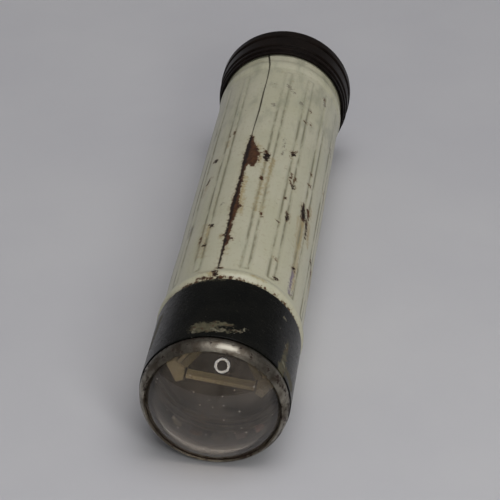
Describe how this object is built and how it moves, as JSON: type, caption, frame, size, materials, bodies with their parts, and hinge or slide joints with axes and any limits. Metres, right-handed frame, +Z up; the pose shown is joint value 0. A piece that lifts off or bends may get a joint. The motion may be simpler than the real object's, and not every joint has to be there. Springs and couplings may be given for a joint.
{
  "type": "kaleidoscope",
  "caption": "Hand-held toy kaleidoscope: painted tin tube, turning collar with a clear glass dome, mirror prism inside and a ribbed eyepiece cap.",
  "frame": {"origin": "centre of the overall box, on the surface that the kaleidoscope lies on", "axes": "+Y runs along the tube to the eyepiece cap and the glass dome faces -Y; +Z is up; the tube's axis rises 0.59 degrees towards the cap, because the cap's rim is larger than the front bead and both rest on the surface"},
  "size_m": [0.0432, 0.1796, 0.0432],
  "materials": {
    "cream_paint": "aged gloss enamel on tinplate, chipped and rusted along the seam",
    "black_paint": "gloss enamel, scuffed to bare metal at the front",
    "black_moulding": "brown-black gloss moulding",
    "tin": "dull worn tin with rust pits",
    "steel": "spring steel",
    "brass": "satin",
    "dome_glass": "polished clear glass, faintly violet",
    "clear_glass": "polished clear glass",
    "amber_glass": "polished",
    "violet_glass": "polished",
    "smoke_glass": "polished",
    "rose_glass": "polished",
    "mirror": "silvered glass strip",
    "card": "matt aged cream card",
    "dark_card": "matt black card",
    "felt": "felt or cloth tape"
  },
  "bodies": {
    "barrel": {"tube_shell": "cream_paint", "friction_sleeve": "card", "front_stop_ring": "dark_card", "prism_sleeve": "dark_card", "rear_centring_ring": "card", "mirror_base": "mirror", "mirror_right": "mirror", "mirror_left": "mirror", "backing_base": "card", "backing_right": "card", "backing_left": "card", "prism_band_front": "felt", "prism_band_rear": "felt", "packing_front_right": "card", "packing_front_top": "card", "packing_front_left": "card", "packing_rear_right": "card", "packing_rear_top": "card", "packing_rear_left": "card", "eyepiece_cap": "black_moulding", "eye_gasket": "felt", "eye_glass": "clear_glass", "eye_glass_ring": "brass", "eye_plate": "dark_card", "cushion_ring": "felt", "chip_amber": "amber_glass", "chip_violet": "violet_glass", "chip_smoke": "smoke_glass", "chip_clear": "clear_glass", "chip_rose": "rose_glass"},
    "front_cell": {"grip_collar": "black_paint", "bezel_ring": "tin", "dome_glass": "dome_glass", "dome_gasket": "felt", "cell_spacer_ring": "tin", "cell_back_glass": "clear_glass", "cell_snap_ring": "steel"}
  },
  "joints": [
    {"name": "front_cell_turn", "type": "hinge", "parent": "barrel", "child": "front_cell", "pos_m": [0, -0.06598, 0.02003], "axis": [0, 0.9999, 0.0102], "continuous": true}
  ]
}
